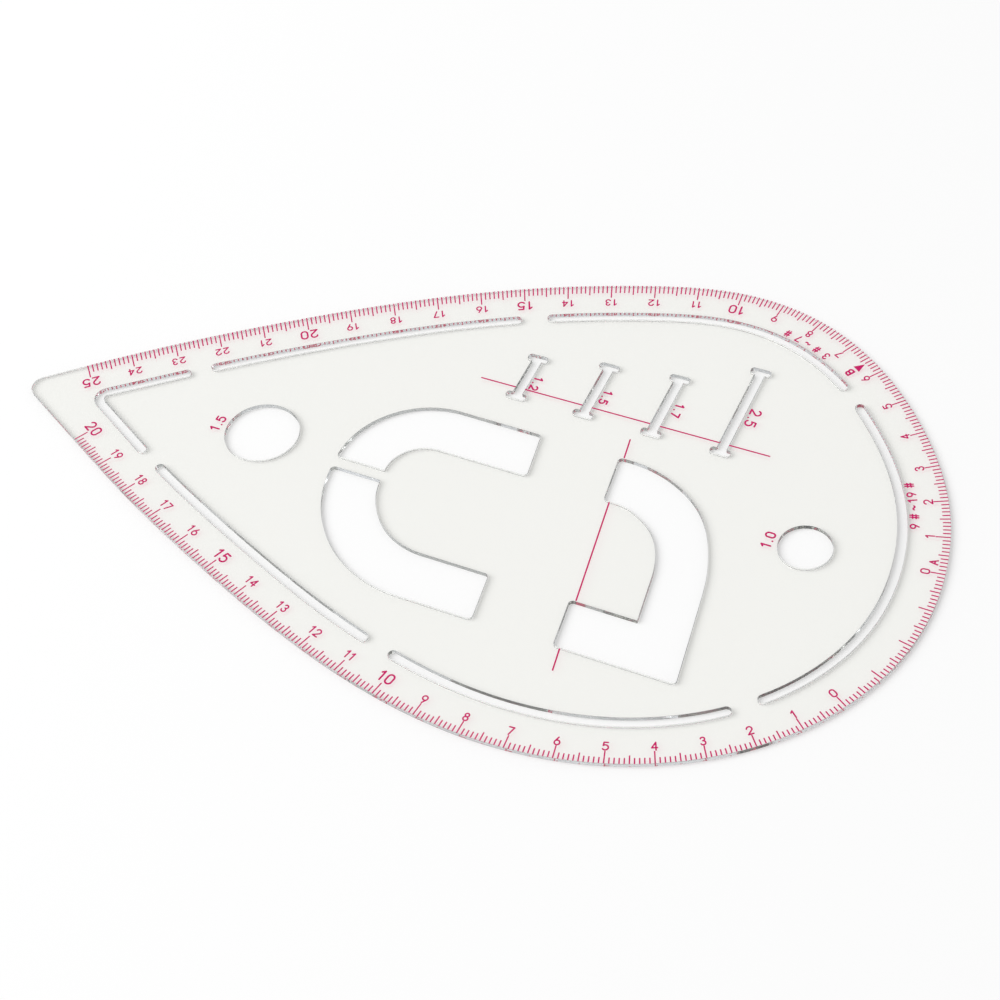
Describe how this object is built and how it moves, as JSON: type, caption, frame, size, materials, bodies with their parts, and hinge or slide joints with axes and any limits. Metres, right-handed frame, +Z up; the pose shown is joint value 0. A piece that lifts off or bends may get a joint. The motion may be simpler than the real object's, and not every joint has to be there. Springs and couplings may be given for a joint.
{
  "type": "french curve ruler",
  "caption": "Clear acrylic teardrop pattern-drafting ruler with printed centimetre edge scales, curve cut-outs, round holes and slots for drawing allowances.",
  "frame": {"origin": "middle of the overall length and width, on the underside", "axes": "+X from the pointed tip to the round end, +Y towards the long-scale edge, +Z up out of the printed face"},
  "size_m": [0.2065, 0.1334, 0.001],
  "materials": {
    "clear_acrylic": "polished clear, laser cut edges",
    "crimson_ink": "flat printed ink"
  },
  "bodies": {
    "root": {"plate": "clear_acrylic", "long_scale_mm_ticks": "crimson_ink", "long_scale_half_ticks": "crimson_ink", "long_scale_cm_ticks": "crimson_ink", "long_scale_numerals": "crimson_ink", "link_mm_ticks": "crimson_ink", "link_half_ticks": "crimson_ink", "link_cm_ticks": "crimson_ink", "short_scale_mm_ticks": "crimson_ink", "short_scale_half_ticks": "crimson_ink", "short_scale_cm_ticks": "crimson_ink", "short_scale_numerals": "crimson_ink", "point_a_letter": "crimson_ink", "point_b_letter": "crimson_ink", "point_b_triangle": "crimson_ink", "size_range_labels": "crimson_ink", "slot_baseline": "crimson_ink", "slot_numerals": "crimson_ink", "curve_axis_line": "crimson_ink", "circle_numerals": "crimson_ink"}
  },
  "joints": []
}
